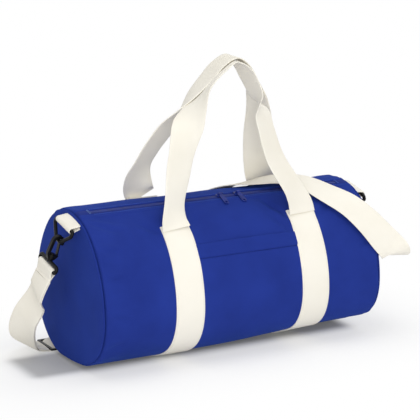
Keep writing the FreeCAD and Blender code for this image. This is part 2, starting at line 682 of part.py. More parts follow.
def strap_slider():
    """Flat frame with a middle bar between two slots."""
    half_width = HALF_WEB + ADJUSTER_RIM + PLAY

    def block(x0, x1, y_half, z0=ADJUSTER_Z):
        return Part.makeBox(x1 - x0, 2 * y_half, ADJUSTER_PLATE, Vector(ADJUSTER_X + x0, ADJUSTER_Y - y_half, z0))
    outer = ADJUSTER_LENGTH / 2
    bar = ADJUSTER_BAR / 2
    frame = block(-outer, outer, half_width)
    corners = [edge for edge in frame.Edges if abs(edge.CenterOfMass.z - ADJUSTER_Z - ADJUSTER_PLATE / 2) < 0.01]
    frame = frame.makeFillet(ADJUSTER_RIM * 0.8, corners)
    for x0, x1 in ((ADJUSTER_RIM - outer, -bar), (bar, outer - ADJUSTER_RIM)):
        frame = frame.cut(block(x0, x1, HALF_WEB + PLAY))
    return frame


def strap_length(stations):
    return sum((b[0] - a[0]).Length for a, b in zip(stations, stations[1:]))


def placed(shape, placement):
    copy = shape.copy()
    copy.Placement = placement.multiply(copy.Placement)
    return copy


def main():
    os.makedirs("parts", exist_ok=True)
    save(barrel_panel(), "barrel_panel")
    save(front_pocket(), "front_pocket")
    for row, sign in (("front", 1), ("rear", -1)):
        save(zip_tape(sign), "zip_tape_" + row)
        save(zip_coil(sign), "zip_coil_" + row)
    save(ribbon(handle_stations(True)), "handle_front")
    save(ribbon(handle_stations(False)), "handle_rear")
    slider_x = {"left": SLIDER_LEFT_X, "right": SLIDER_RIGHT_X}
    for side, sign in SIDES.items():
        save(end_panel(sign), "end_panel_" + side)
        save(seam_binding(sign), "seam_binding_" + side)
        save(belt(side), "belt_" + side)
        save(zip_end_tab(sign), "zip_end_tab_" + side)
        save(placed(zip_slider(sign), zip_frame(slider_x[side])), "zip_slider_" + side)
        save(placed(pull_tab(), pull_frame(slider_x[side])), "pull_tab_" + side)
        seam = end_frame(side)
        ring = seam.multiply(ring_frame())
        hook = seam.multiply(hook_frame())
        save(placed(ring_tab(), seam), "ring_tab_" + side)
        save(placed(d_ring(), ring), "d_ring_" + side)
        save(placed(snap_hook(), hook), "snap_hook_" + side)
        save(placed(hook_gate(), hook), "hook_gate_" + side)
        base = seam.multiply(base_frame(side))
        save(placed(swivel_base(), base), "swivel_base_" + side)
        save(placed(strap_loop(), base), "strap_loop_" + side)
    strap = shoulder_strap()
    layer = strap_return()
    save(facing_ribbon(strap), "shoulder_strap")
    save(facing_ribbon(layer), "strap_return")
    save(strap_slider(), "strap_slider")
    print("strap length", round(strap_length(strap)), "second layer", round(strap_length(layer)))


main()
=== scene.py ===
import math

import bmesh
import bpy
import numpy as np
from mathutils import Matrix, Vector, noise

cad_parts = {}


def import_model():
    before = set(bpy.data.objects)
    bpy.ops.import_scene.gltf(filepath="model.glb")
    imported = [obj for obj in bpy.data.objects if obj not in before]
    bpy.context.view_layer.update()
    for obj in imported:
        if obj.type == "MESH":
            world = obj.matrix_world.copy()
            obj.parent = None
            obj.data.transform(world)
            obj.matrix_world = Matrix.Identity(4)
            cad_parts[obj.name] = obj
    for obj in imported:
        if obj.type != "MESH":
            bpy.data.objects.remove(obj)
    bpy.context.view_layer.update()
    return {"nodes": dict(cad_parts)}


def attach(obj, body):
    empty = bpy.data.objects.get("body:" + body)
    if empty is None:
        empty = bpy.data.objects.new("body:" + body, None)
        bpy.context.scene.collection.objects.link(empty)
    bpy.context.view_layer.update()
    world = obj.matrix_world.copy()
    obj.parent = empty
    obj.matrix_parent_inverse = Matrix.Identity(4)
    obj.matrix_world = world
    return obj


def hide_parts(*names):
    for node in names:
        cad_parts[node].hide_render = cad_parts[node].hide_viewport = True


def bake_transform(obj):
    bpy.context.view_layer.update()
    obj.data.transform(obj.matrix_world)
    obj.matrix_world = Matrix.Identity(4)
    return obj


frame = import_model()

# Sizes of the bag, in metres, as in the solids
HALF_LENGTH = 0.25
HALF_WIDTH = 0.128
HEIGHT = 0.25
LIFT = 0.002
WEB = 0.05
WEB_THICK = 0.002
SIDES = {"left": -1, "right": 1}
BELTS = {"left": -0.105, "right": 0.125}

# Outline of the barrel: a round top, flatter sides, round lower corners and a flat base
TOP_RADIUS = 0.875 * HALF_WIDTH
CORNER = 1.569 * HALF_WIDTH * (HEIGHT - HALF_WIDTH) / HEIGHT
FLAT = HALF_WIDTH - CORNER
TOP_Z = LIFT + HEIGHT - TOP_RADIUS
WAIST_Z = LIFT + CORNER
RISE = TOP_Z - WAIST_Z
SIDE = (HALF_WIDTH**2 + RISE**2 - TOP_RADIUS**2) / (2 * (HALF_WIDTH - TOP_RADIUS))
SIDE_Y = HALF_WIDTH - SIDE
SHOULDER = math.atan2(RISE, -SIDE_Y)
RUN_TOP = TOP_RADIUS * (math.pi / 2 - SHOULDER)
RUN_SIDE = RUN_TOP + SIDE * SHOULDER
RUN_CORNER = RUN_SIDE + CORNER * math.pi / 2
HALF_ROUND = RUN_CORNER + FLAT
ROUND = 2 * HALF_ROUND

# The barrel lies rolled a little to the front, and with it the zip and the roots of the handles
ROLL = math.radians(12.9)
ZIP_S = TOP_RADIUS * ROLL
SLOT = 0.014
ZIP_HALF = 0.228
ROOT_FROM_ZIP = 0.0647
FRONT_S = ZIP_S + ROOT_FROM_ZIP
REAR_S = ZIP_S - ROOT_FROM_ZIP


def ring(s):
    """Point and outward normal of the barrel's outline, s metres from the crown towards the front."""
    s = np.mod(np.asarray(s, float), ROUND)
    mirror = np.where(s > HALF_ROUND, -1.0, 1.0)
    s = np.where(s > HALF_ROUND, ROUND - s, s)
    top = s / TOP_RADIUS
    side = SHOULDER - (s - RUN_TOP) / SIDE
    corner = -(s - RUN_SIDE) / CORNER
    arcs = [s < RUN_TOP, s < RUN_SIDE, s < RUN_CORNER]
    y = np.select(arcs, [-TOP_RADIUS * np.sin(top),
                         -(SIDE_Y + SIDE * np.cos(side)),
                         -(FLAT + CORNER * np.cos(corner))], s - RUN_CORNER - FLAT)
    z = np.select(arcs, [TOP_Z + TOP_RADIUS * np.cos(top),
                         WAIST_Z + SIDE * np.sin(side),
                         WAIST_Z + CORNER * np.sin(corner)], LIFT + 0 * s)
    ny = np.select(arcs, [-np.sin(top), -np.cos(side), -np.cos(corner)], 0 * s)
    nz = np.select(arcs, [np.cos(top), np.sin(side), np.sin(corner)], -1 + 0 * s)
    return y * mirror, z, ny * mirror, nz


def way_round(s, start):
    """Shorter way round the outline from start to s, positive towards the front."""
    return np.mod(s - start + HALF_ROUND, ROUND) - HALF_ROUND


def bump(x, s, x0, s0, wide, tall):
    """Soft round bump centred on one place of the cloth."""
    return np.exp(-((x - x0) / wide) ** 2 - (way_round(s, s0) / tall) ** 2)


def smooth(x, low, high):
    """Soft step from 0 at low to 1 at high."""
    t = np.clip((x - low) / (high - low), 0, 1)
    return t * t * (3 - 2 * t)


def wobble(x, s, scale, seed):
    """Smooth noise over the cloth, the same on every run."""
    x, s = np.broadcast_arrays(np.asarray(x, float), np.asarray(s, float))
    turn = s / ROUND * 2 * math.pi
    reach = ROUND / (2 * math.pi) * scale
    flat = [noise.noise(Vector((a * scale, reach * math.cos(b), reach * math.sin(b) + seed)))
            for a, b in zip(x.ravel(), turn.ravel())]
    return np.array(flat).reshape(x.shape)


def crease(x, s, first, last, wide, deep):
    """Soft valley along a line on the cloth, with a low ridge beside it."""
    way = np.array(last) - np.array(first)
    length = float(np.hypot(*way))
    gap = way_round(s, first[1])
    along = ((x - first[0]) * way[0] + gap * way[1]) / length**2
    aside = ((x - first[0]) * way[1] - gap * way[0]) / length
    share = np.sin(np.clip(along * 0.84 + 0.08, 0, 1) * math.pi)
    ridge = 0.55 * np.exp(-((aside - 1.5 * wide) / wide) ** 2)
    return deep * share * (ridge - np.exp(-(aside / wide) ** 2))


# Creases that run from the handles' roots and the end seams: both ends as x and s, width and depth
FOLD = 0.006
CREASES = [
    ((0.099, 0.094), (0.072, 0.046), 0.0062, 0.0042),
    ((0.098, 0.120), (0.066, 0.084), FOLD, 0.0022),
    ((0.035, 0.040), (0.088, 0.044), 0.005, 0.0020),
    ((-0.080, 0.092), (-0.050, 0.060), FOLD, 0.0026),
    ((-0.132, 0.090), (-0.165, 0.066), FOLD, 0.0024),
    ((-0.243, 0.055), (-0.190, 0.080), FOLD, 0.0026),
    ((-0.243, 0.110), (-0.205, 0.118), FOLD, 0.0022),
    ((-0.244, 0.160), (-0.212, 0.157), FOLD, 0.0020),
    ((-0.244, 0.215), (-0.206, 0.224), FOLD, 0.0020),
    ((-0.244, 0.270), (-0.215, 0.262), FOLD, 0.0018),
    ((0.152, 0.100), (0.190, 0.070), FOLD, 0.0022),
    ((0.243, 0.080), (0.205, 0.090), FOLD, 0.0022),
    ((0.244, 0.150), (0.212, 0.158), FOLD, 0.0020),
    ((0.243, -0.050), (0.200, -0.070), FOLD, 0.0022),
    ((-0.243, -0.060), (-0.195, -0.050), FOLD, 0.0022),
    ((-0.243, -0.140), (-0.205, -0.150), FOLD, 0.0020),
    ((0.244, -0.160), (0.208, -0.150), FOLD, 0.0020),
    ((-0.080, -0.045), (-0.045, -0.080), FOLD, 0.0024),
    ((0.098, -0.045), (0.060, -0.085), FOLD, 0.0024),
]

# Hollows and swells of the filled cloth: rise, place as x and s, and reach along x and s
SWELLS = [
    (-0.0045, (-0.2, 0.03), (0.035, 0.05)),
    (-0.0050, (0.078, 0.062), (0.020, 0.020)),
    (-0.0030, (-0.066, 0.072), (0.016, 0.022)),
    (-0.0030, (-0.145, 0.085), (0.014, 0.03)),
    (0.0020, (0.02, 0.10), (0.05, 0.022)),
]


def tuck(x, s):
    """How far the lower front corner is drawn in, most at the right end."""
    deep = 0.005 + 0.011 * smooth(x, -0.05, 0.26)
    return deep * np.exp(-((s - RUN_SIDE - 1.2 * CORNER) / 0.045) ** 2)


def puff(x, s):
    """How far the filled cloth stands out from the plain outline."""
    x, s = np.broadcast_arrays(np.asarray(x, float), np.asarray(s, float))
    near_end = smooth(np.abs(x), 0.15, 0.245)
    at_seam = smooth(np.abs(x), 0.21, 0.246)
    broad = 0.0016 * wobble(x, s, 9.0, 3.0)
    fine = 0.0008 * wobble(x, s, 23.0, 11.0) * (0.4 + near_end)
    gathers = 0.0022 * near_end * wobble(x * 0.35, s, 24.0, 5.0)
    puckers = 0.0026 * at_seam * wobble(x * 0.25, s, 55.0, 17.0)
    out = broad + fine + gathers + puckers
    for rise, place, reach in SWELLS:
        out = out + rise * bump(x, s, *place, *reach)
    for line in CREASES:
        out = out + crease(x, s, *line)
    off_base = smooth(np.abs(np.mod(s, ROUND) - HALF_ROUND), 0.03, 0.10)
    held_straight = 1 - np.exp(-(way_round(s, ZIP_S) / 0.018) ** 4)
    return out * off_base * held_straight - tuck(x, s)


def shell(x, s, off=0.0):
    """Point of the filled barrel at x, s, raised by off."""
    x, s = np.broadcast_arrays(np.asarray(x, float), np.asarray(s, float))
    y, z, ny, nz = ring(s)
    d = off + puff(x, s)
    return np.stack([x, y + ny * d, z + nz * d], axis=-1)


def shell_normal(s):
    """Outward direction of the barrel at s."""
    ny, nz = ring(s)[2:]
    return np.stack([0 * ny, ny, nz], axis=-1)


# Objects and meshes

def add(name, data):
    """New object in the scene."""
    obj = bpy.data.objects.new(name, data)
    bpy.context.scene.collection.objects.link(obj)
    return obj


def stand_for(obj, node_name, body="bag"):
    """Shows a piece in place of a solid, moving with a body."""
    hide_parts(node_name)
    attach(obj, body)


def make(name, verts, faces, uvs, mat):
    """New smooth object, with a UV map in metres where uvs are given."""
    mesh = bpy.data.meshes.new(name)
    mesh.from_pydata([tuple(v) for v in verts], [], faces)
    if uvs is not None:
        layer = mesh.uv_layers.new(name="metres")
        index = np.empty(len(mesh.loops), int)
        mesh.loops.foreach_get("vertex_index", index)
        layer.data.foreach_set("uv", np.asarray(uvs, float)[index].ravel())
    mesh.polygons.foreach_set("use_smooth", [True] * len(mesh.polygons))
    mesh.update()
    obj = add(name, mesh)
    mesh.materials.append(mat)
    return obj


def fix_normals(obj):
    """Turns all faces outwards."""
    work = bmesh.new()
    work.from_mesh(obj.data)
    bmesh.ops.recalc_face_normals(work, faces=work.faces)
    work.to_mesh(obj.data)
    work.free()


def slab(name, outer, inner, uv, mat):
    """Closed sheet between two grids of points, with walls round its border."""
    rows, cols = outer.shape[:2]
    count = rows * cols
    verts = np.concatenate([outer.reshape(-1, 3), inner.reshape(-1, 3)])
    uvs = np.concatenate([uv.reshape(-1, 2), uv.reshape(-1, 2)])
    faces = []
    for i in range(rows - 1):
        for j in range(cols - 1):
            a = i * cols + j
            b = a + 1
            c = b + cols
            d = a + cols
            faces.append((a, b, c, d))
            faces.append((count + d, count + c, count + b, count + a))
    border = [i * cols for i in range(rows)] + [(rows - 1) * cols + j for j in range(1, cols)]
    border += [i * cols + cols - 1 for i in range(rows - 2, -1, -1)] + list(range(cols - 2, 0, -1))
    for a, b in zip(border, border[1:] + border[:1]):
        faces.append((a, b, count + b, count + a))
    obj = make(name, verts, faces, uvs, mat)
    fix_normals(obj)
    obj.data.set_sharp_from_angle(angle=math.radians(50))
    return obj


# Materials

def material(name):
    """New material with its node tree and its shader."""
    mat = bpy.data.materials.new(name)
    mat.use_nodes = True
    tree = mat.node_tree
    shader = tree.nodes["Principled BSDF"]
    return mat, tree, shader


def node(tree, kind, links=(), **values):
    """New node, with its inputs linked or set and its settings given by name."""
    made = tree.nodes.new(kind)
    for key, value in values.items():
        setattr(made, key, value)
    for socket, source in links:
        if hasattr(source, "is_output"):
            tree.links.new(source, made.inputs[socket])
        else:
            made.inputs[socket].default_value = source
    return made


def maths(tree, operation, a, b=0.0):
    """Result of a sum in the node tree."""
    return node(tree, "ShaderNodeMath", [(0, a), (1, b)], operation=operation).outputs[0]


def grain(tree, place, scale, detail):
    """Noise at a place in the node tree."""
    inputs = [("Vector", place), ("Scale", scale), ("Detail", detail)]
    return node(tree, "ShaderNodeTexNoise", inputs).outputs[0]


def two_tones(tree, tone, low, dark, high, light):
    """Colour that goes from dark to light as tone goes from low to high."""
    ramp = node(tree, "ShaderNodeValToRGB", [(0, tone)])
    first, last = ramp.color_ramp.elements
    first.position = low
    first.color = (*dark, 1)
    last.position = high
    last.color = (*light, 1)
    return ramp.outputs[0]


def woven(name, colour, dark, pitch_u, pitch_v, depth, roughness, sheen, cords=0.0, nap=(1, 1, 1)):
    """Woven cloth: two crossing sets of threads from the metre-true UV map, slubs, painted shade in the
    weave's hollows and soft random blotches of tone.
    """
    mat, tree, shader = material(name)
    uv = node(tree, "ShaderNodeUVMap", uv_map="metres").outputs[0]
    split = node(tree, "ShaderNodeSeparateXYZ", [(0, uv)])
    u = maths(tree, "MULTIPLY", split.outputs[0], math.pi / pitch_u)
    v = maths(tree, "MULTIPLY", split.outputs[1], math.pi / pitch_v)
    warp = maths(tree, "ABSOLUTE", maths(tree, "SINE", u))
    weft = maths(tree, "ABSOLUTE", maths(tree, "SINE", v))
    over = maths(tree, "MULTIPLY", maths(tree, "SINE", u), maths(tree, "SINE", v))
    ribs = maths(tree, "MULTIPLY", warp, 0.5 + cords)
    lift = maths(tree, "ADD", ribs, maths(tree, "MULTIPLY", weft, 0.5))
    lift = maths(tree, "ADD", lift, maths(tree, "MULTIPLY", over, 0.35))
    place = node(tree, "ShaderNodeTexCoord").outputs["Object"]
    fuzz = grain(tree, place, 900.0, 3.0)
    patch = grain(tree, place, 14.0, 4.0)
    lift = maths(tree, "ADD", lift, maths(tree, "MULTIPLY", fuzz, 0.5))
    relief = node(tree, "ShaderNodeBump", [("Height", lift), ("Strength", 0.4), ("Distance", depth)])
    tree.links.new(relief.outputs[0], shader.inputs["Normal"])
    # Painted shade: the colour darkens where lift falls, in the weave's hollows, and varies at random in
    # soft blotches with patch
    tone = maths(tree, "ADD", maths(tree, "MULTIPLY", lift, 0.16), maths(tree, "MULTIPLY", patch, 0.7))
    tree.links.new(two_tones(tree, tone, 0.25, dark, 0.65, colour), shader.inputs["Base Color"])
    shader.inputs["Roughness"].default_value = roughness
    shader.inputs["Sheen Weight"].default_value = sheen
    shader.inputs["Sheen Roughness"].default_value = 0.5
    shader.inputs["Sheen Tint"].default_value = (*nap, 1)
    shader.inputs["Specular IOR Level"].default_value = 0.1
    return mat


def painted(name, colour, roughness, fine_scale, coat=0.0, shine=0.5):
    """Smooth plastic, paint or thread, with a fine grain and a slight change of tone."""
    mat, tree, shader = material(name)
    place = node(tree, "ShaderNodeTexCoord").outputs["Object"]
    fine = grain(tree, place, fine_scale, 3.0)
    broad = grain(tree, place, 60.0, 2.0)
    relief = node(tree, "ShaderNodeBump", [("Height", fine), ("Strength", 0.25), ("Distance", 0.0001)])
    tree.links.new(relief.outputs[0], shader.inputs["Normal"])
    dark = [c * 0.75 for c in colour]
    light = [min(1.0, c * 1.15) for c in colour]
    tree.links.new(two_tones(tree, broad, 0.3, dark, 0.7, light), shader.inputs["Base Color"])
    rough = maths(tree, "ADD", maths(tree, "MULTIPLY", fine, 0.18), roughness - 0.09)
    tree.links.new(rough, shader.inputs["Roughness"])
    shader.inputs["Specular IOR Level"].default_value = shine
    shader.inputs["Coat Weight"].default_value = coat
    return mat


def srgb(*levels):
    """Linear colour from levels of 0 to 255."""
    shares = [level / 255 for level in levels]
    return tuple(c / 12.92 if c <= 0.04045 else ((c + 0.055) / 1.055) ** 2.4 for c in shares)


# Thread pitch and relief of the canvas, and roughness of its surface
PITCH = 0.0011
RELIEF = 0.00012
MATT = 0.85
CANVAS = woven("canvas", srgb(33, 53, 138), srgb(26, 43, 119), PITCH, PITCH, RELIEF, MATT,
               sheen=0.14, nap=srgb(40, 120, 225))
HEM = woven("canvas_hem", srgb(22, 44, 126), srgb(17, 35, 108), PITCH, PITCH, RELIEF, MATT, sheen=0.05)
WEBBING = woven("webbing", srgb(236, 232, 221), srgb(229, 224, 210), pitch_u=0.0016, pitch_v=0.0012,
                depth=0.00009, roughness=0.9, sheen=0.1, cords=0.5)
TAPE = woven("zip_tape", srgb(22, 44, 124), srgb(16, 34, 104), pitch_u=0.0007, pitch_v=0.0007,
             depth=0.0001, roughness=0.8, sheen=0.05)
PLASTIC = painted("black_plastic", (0.005, 0.005, 0.0055), 0.36, 1500.0, shine=0.14)
PAINT = painted("blue_paint", srgb(19, 39, 124), 0.42, 1200.0, coat=0.1, shine=0.3)
COIL = painted("zip_coil", srgb(24, 46, 132), 0.5, 2000.0)
FIBRE = 3000.0
THREAD = painted("blue_thread", srgb(62, 96, 190), 0.8, FIBRE)
PALE_THREAD = painted("pale_thread", srgb(236, 232, 218), 0.85, FIBRE)
# Near-black blue thread for the pocket's stitching: real stitches, coloured as painted shade under the hem
SHADE_THREAD = painted("thread_painted_shade", srgb(14, 24, 84), 0.9, FIBRE, shine=0.1)
TACK_THREAD = painted("tack_thread", srgb(120, 150, 215), 0.8, FIBRE)


# Barrel, end panels and belts

# End seams: where the cloth begins to turn in, over which width and how deep, and where it ends
SEAM_START = 0.2455
SEAM_WIDE = 0.005
SEAM_DEEP = 0.0085
CLOTH_END = 0.2505
CANVAS_THICK = 0.0018
CANVAS_REST = 0.0014

# End panels: face, bulge, rim below the barrel's outline, and middle and mean radius of the panel
END_FACE = 0.2538
END_BULGE = 0.00403
END_RIM = 0.003
END_THICK = 0.0016
END_MIDDLE = np.array([0.0, 0.122])
END_RADIUS = 0.12
# Rolled edge of an end panel: way in from its rim, and depth below its face
END_EDGE = [(0.0058, 0.0036), (0.0034, 0.0034), (0.0016, 0.0030), (0.0005, 0.0023),
            (0.0, 0.0014), (0.0004, 0.0006), (0.0014, 0.0002), (0.0030, 0.0)]

# Webbing: width of its rounded edges, play over the cloth, and how far a belt runs under a handle
WEB_EDGE = 0.0012
WEB_PLAY = 0.0002
BELT_UNDER = 0.009
# Lowest height of the outer and the inner face of a belt, where the bag stands on it
BELT_REST = (0.0002, 0.0008)


def edge_steps(half, fine):
    """Steps across a width with extra rows close to both edges."""
    inner = np.linspace(-1, 1, fine)
    steps = np.concatenate([[-1, -0.985, -0.955], inner[1:-1] * 0.9, [0.955, 0.985, 1]])
    return steps * half


def rim(x):
    """How far the cloth turns in at the end seams."""
    t = np.clip((np.abs(x) - SEAM_START) / SEAM_WIDE, 0, 1)
    return -SEAM_DEEP * (1 - np.sqrt(1 - t**3))


def barrel():
    """Main cloth, from one hem of the zip round the barrel to the other."""
    crowded = np.array([0, 0.003, 0.012, 0.03, 0.06, 0.11, 0.18, 0.28, 0.4, 0.55, 0.75])
    turn = CLOTH_END - 0.0065 * crowded
    xs = np.concatenate([-turn, np.linspace(-0.2432, -0.205, 22), np.linspace(-0.202, 0.202, 130),
                         np.linspace(0.205, 0.2432, 22), turn[::-1]])
    low = ZIP_S + SLOT / 2
    high = ZIP_S - SLOT / 2 + ROUND
    hem = np.array([0, 0.0002, 0.0005, 0.0009, 0.0014, 0.0019, 0.0023, 0.0026, 0.0029, 0.0033, 0.0039,
                    0.005, 0.0065, 0.0078, 0.0086, 0.0094, 0.0105])
    ss = np.concatenate([low + hem, np.linspace(low + 0.0125, high - 0.0125, 320), high - hem[::-1]])
    X, S = np.meshgrid(xs, ss, indexing="ij")
    from_edge = np.minimum(S - low, high - S)
    doubled = 0.0008 * (1 - smooth(from_edge, 0.0078, 0.0096))
    round_edge = 0.0011 * np.clip(1 - from_edge / 0.0014, 0, 1) ** 2
    groove = 0.0004 * np.exp(-((from_edge - 0.0026) / 0.0008) ** 2)
    outer = shell(X, S, rim(X) + (doubled - round_edge - groove))
    inner = shell(X, S, rim(X) - CANVAS_THICK)
    outer[..., 2] = np.maximum(outer[..., 2], CANVAS_REST)
    obj = slab("barrel_cloth", outer, inner, np.stack([X, S], axis=-1), CANVAS)
    stand_for(obj, "barrel_panel")


def end_cloth(side, sign):
    """End panel: a rolled edge at the seam and a low bulge with soft puckers."""
    ss = np.linspace(0, ROUND, 241)[:-1]
    y, z, ny, nz = ring(ss)
    rim_out = -END_RIM - tuck(sign * HALF_LENGTH, ss)
    profile = [(1 - drop / END_RADIUS, lip) for drop, lip in END_EDGE]
    profile += [(share, 0.0) for share in np.linspace(0.955, 0.04, 32)]
    rows = []
    uvs = []
    for share, lip in profile:
        ry = END_MIDDLE[0] + (y + ny * rim_out - END_MIDDLE[0]) * share
        rz = END_MIDDLE[1] + (z + nz * rim_out - END_MIDDLE[1]) * share
        bulge = END_BULGE * (1 - share**2.2)
        pucker = np.array([noise.noise(Vector((a * 22, b * 22, 7.0 + sign))) for a, b in zip(ry, rz)])
        wave = 0.0011 * pucker * smooth(1 - share, 0.03, 0.12)
        rows.append(np.stack([sign * (END_FACE - lip + bulge + wave), ry, rz], axis=-1))
        uvs.append(np.stack([ry, rz], axis=-1))
    count = len(ss)
    verts = np.array(rows).reshape(-1, 3).tolist() + [[sign * (END_FACE + END_BULGE), *END_MIDDLE]]
    uv = np.concatenate([np.array(uvs).reshape(-1, 2), [END_MIDDLE]])
    faces = []
    for i in range(len(profile) - 1):
        for j in range(count):
            k = (j + 1) % count
            faces.append((i * count + j, i * count + k, (i + 1) * count + k, (i + 1) * count + j))
    last = (len(profile) - 1) * count
    faces += [(last + j, last + (j + 1) % count, len(verts) - 1) for j in range(count)]
    obj = make("end_cloth_" + side, verts, faces, uv, CANVAS)
    fix_normals(obj)
    thick = obj.modifiers.new("cloth", "SOLIDIFY")
    thick.thickness = END_THICK
    thick.offset = -1
    stand_for(obj, "end_panel_" + side)


def belt(side):
    """Webbing belt sewn round the barrel, from one handle's root to the other's."""
    ss = np.linspace(FRONT_S - BELT_UNDER, REAR_S + BELT_UNDER + ROUND, 260)
    S, C = np.meshgrid(ss, edge_steps(WEB / 2, 13), indexing="ij")
    edge = 1 - np.clip((WEB / 2 - np.abs(C)) / WEB_EDGE, 0, 1)
    outer = shell(BELTS[side] + C, S, WEB_THICK - 0.0009 * edge**2)
    inner = shell(BELTS[side] + C, S, WEB_PLAY)
    outer[..., 2] = np.maximum(outer[..., 2], BELT_REST[0])
    inner[..., 2] = np.maximum(inner[..., 2], BELT_REST[1])
    obj = slab("belt_webbing_" + side, outer, inner, np.stack([C, S], axis=-1), WEBBING)
    stand_for(obj, "belt_" + side)


barrel()
for side, sign in SIDES.items():
    end_cloth(side, sign)
    belt(side)


# Webbing ribbons

def unit(a):
    """Vectors of length one."""
    return a / np.maximum(np.linalg.norm(a, axis=-1, keepdims=True), 1e-12)


def steps_along(places):
    """Lengths of the steps between the places of a line."""
    return np.linalg.norm(np.diff(places, axis=0), axis=1)


def run_along(places):
    """Length of a line from its start to each of its places."""
    return np.concatenate([[0], np.cumsum(steps_along(places))])


def through(points, count):
    """Smooth curve through points, evenly spaced along its length."""
    points = np.asarray(points, float)
    gaps = np.maximum(steps_along(points[:, :3]), 1e-9) ** 0.5
    knots = np.concatenate([[0], np.cumsum(gaps)])
    padded = np.concatenate([[2 * points[0] - points[1]], points, [2 * points[-1] - points[-2]]])
    times = np.concatenate([[-gaps[0]], knots, [knots[-1] + gaps[-1]]])
    dense = np.linspace(0, knots[-1], 40 * len(points))
    span = np.clip(np.searchsorted(knots, dense, side="right") - 1, 0, len(points) - 2)
    t0, t1, t2, t3 = (times[span + k][:, None] for k in range(4))
    p0, p1, p2, p3 = (padded[span + k] for k in range(4))
    t = dense[:, None]
    a1 = (t1 - t) / (t1 - t0) * p0 + (t - t0) / (t1 - t0) * p1
    a2 = (t2 - t) / (t2 - t1) * p1 + (t - t1) / (t2 - t1) * p2
    a3 = (t3 - t) / (t3 - t2) * p2 + (t - t2) / (t3 - t2) * p3
    b1 = (t2 - t) / (t2 - t0) * a1 + (t - t0) / (t2 - t0) * a2
    b2 = (t3 - t) / (t3 - t1) * a2 + (t - t1) / (t3 - t1) * a3
    curve = (t2 - t) / (t2 - t1) * b1 + (t - t1) / (t2 - t1) * b2
    run = run_along(curve[:, :3])
    even = np.linspace(0, run[-1], count)
    return np.stack([np.interp(even, run, curve[:, k]) for k in range(curve.shape[1])], axis=-1)


def ribbon(name, places, across, start=0.0, cup=0.0, thick=WEB_THICK):
    """Webbing with rounded edges along places, its width along across and its middle raised by cup."""
    ahead = unit(np.gradient(places, axis=0))
    across = unit(across - ahead * np.sum(across * ahead, axis=1, keepdims=True))
    normal = np.cross(ahead, across)
    steps = edge_steps(WEB / 2, 11)
    edge = 1 - np.clip((WEB / 2 - np.abs(steps)) / WEB_EDGE, 0, 1)
    depth = thick / 2 * (1 - 0.62 * edge**2)
    rise = np.asarray(cup).reshape(-1, 1) * (1 - (2 * steps / WEB) ** 2)[None, :]
    middle = places[:, None, :] + across[:, None, :] * steps[None, :, None]
    middle = middle + normal[:, None, :] * rise[:, :, None]
    outer = middle + normal[:, None, :] * depth[None, :, None]
    inner = middle - normal[:, None, :] * depth[None, :, None]
    R, C = np.meshgrid(start + run_along(places), steps, indexing="ij")
    obj = slab(name, outer, inner, np.stack([C, R], axis=-1), WEBBING)
    return obj


# Handles, from their roots on the belts to the apex where they meet

def crown(radius, angle):
    """Place in y and z at an angle from the crown towards the front."""
    return np.array([-radius * math.sin(angle), TOP_Z + radius * math.cos(angle)])


HANDLE_RISE = 0.25
ROOT_PLAY = 0.0003
ROOT_RADIUS = TOP_RADIUS + 1.5 * WEB_THICK + ROOT_PLAY
FRONT_ROOT = crown(ROOT_RADIUS, FRONT_S / TOP_RADIUS)
REAR_ROOT = crown(ROOT_RADIUS, REAR_S / TOP_RADIUS)
FRONT_APEX = np.array([-0.0225, TOP_Z + TOP_RADIUS * math.cos(FRONT_S / TOP_RADIUS) + HANDLE_RISE])
# The rear handle goes behind and over the front one at the apex
REAR_BEHIND = np.array([0.011, 0.0055])
REAR_APEX = FRONT_APEX + REAR_BEHIND

# Stations up the legs: share of the way to the apex, x, and how far the inner edge is turned back in
# degrees. The lowest of the front handle also have a share of the cloth's slope.
FRONT_LEFT = [(0.0, -0.106, 0, 1), (0.05, -0.107, 15, 0.7), (0.15, -0.104, 25), (0.34, -0.091, 15),
              (0.47, -0.080, 10), (0.58, -0.069, -10), (0.70, -0.052, -65), (0.82, -0.028, -110),
              (0.95, 0.008, -105)]
FRONT_RIGHT = [(0.0, 0.126, -5, 1), (0.05, 0.125, -10, 0.7), (0.15, 0.116, -20), (0.36, 0.088, -25),
               (0.55, 0.077, -30), (0.66, 0.073, -35), (0.71, 0.070, -60), (0.76, 0.067, -85),
               (0.86, 0.058, -95), (0.95, 0.046, -95)]
REAR_LEFT = [(0.0, -0.105, 0), (0.05, -0.111, -10), (0.14, -0.114, 5), (0.24, -0.109, 25),
             (0.36, -0.095, 25), (0.50, -0.072, 25), (0.62, -0.052, 50), (0.74, -0.031, 75),
             (0.86, -0.007, 85), (0.95, 0.011, 85)]
REAR_RIGHT = [(0.0, 0.125, 0), (0.06, 0.117, 10), (0.18, 0.110, 20), (0.36, 0.104, 40),
              (0.55, 0.099, 65), (0.70, 0.090, 80), (0.82, 0.077, 95), (0.95, 0.054, 95)]


def handle(name, root, apex, left, right, apex_x, apex_turn):
    """Handle up its left leg, over the apex and down its right leg."""
    stations = []
    for leg, facing in ((left, 1), (right[::-1], -1)):
        for share, x, turn, *slope in leg:
            y, z = root + (apex - root) * share
            a = math.radians(turn)
            stations.append((x, y, z, facing * math.cos(a), math.sin(a), math.sin(a) * sum(slope)))
        if leg is left:
            a = math.radians(apex_turn)
            stations.append((apex_x, apex[0], apex[1], math.cos(a), math.sin(a), 0.0))
    curve = through(stations, 150)
    obj = ribbon("handle_webbing_" + name, curve[:, :3], curve[:, 3:])
    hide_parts("handle_" + name)
    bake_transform(obj)


handle("front", FRONT_ROOT, FRONT_APEX, FRONT_LEFT, FRONT_RIGHT, apex_x=0.030, apex_turn=-98)
handle("rear", REAR_ROOT, REAR_APEX, REAR_LEFT, REAR_RIGHT, apex_x=0.033, apex_turn=85)


# End fittings: frames at each end seam, X outwards and Z out of the barrel's top

